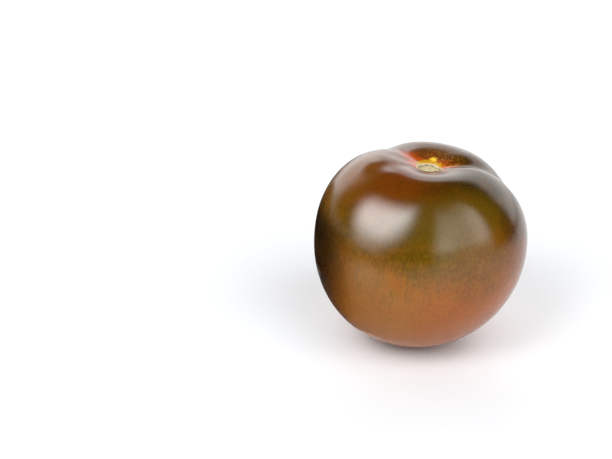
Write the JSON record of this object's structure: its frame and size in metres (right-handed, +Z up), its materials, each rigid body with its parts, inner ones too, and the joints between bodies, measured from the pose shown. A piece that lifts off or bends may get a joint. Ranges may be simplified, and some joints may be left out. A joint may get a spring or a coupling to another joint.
{
  "type": "black tomato",
  "caption": "Whole round dark tomato as picked, with lobed shoulders, a stem dimple with its corky scar, and a small flat spot underneath to rest on.",
  "frame": {"origin": "middle of the flat spot on the blossom end that the fruit rests on", "axes": "+Z up through the fruit towards the stem's scar, -Y towards the viewer of the picture, +X to the viewer's right"},
  "size_m": [0.0602, 0.06, 0.0552],
  "materials": {
    "skin": "glossy waxy tomato skin, dark olive brown at the shoulders and reddish brown below"
  },
  "bodies": {
    "root": {"tomato": "skin"}
  },
  "joints": []
}
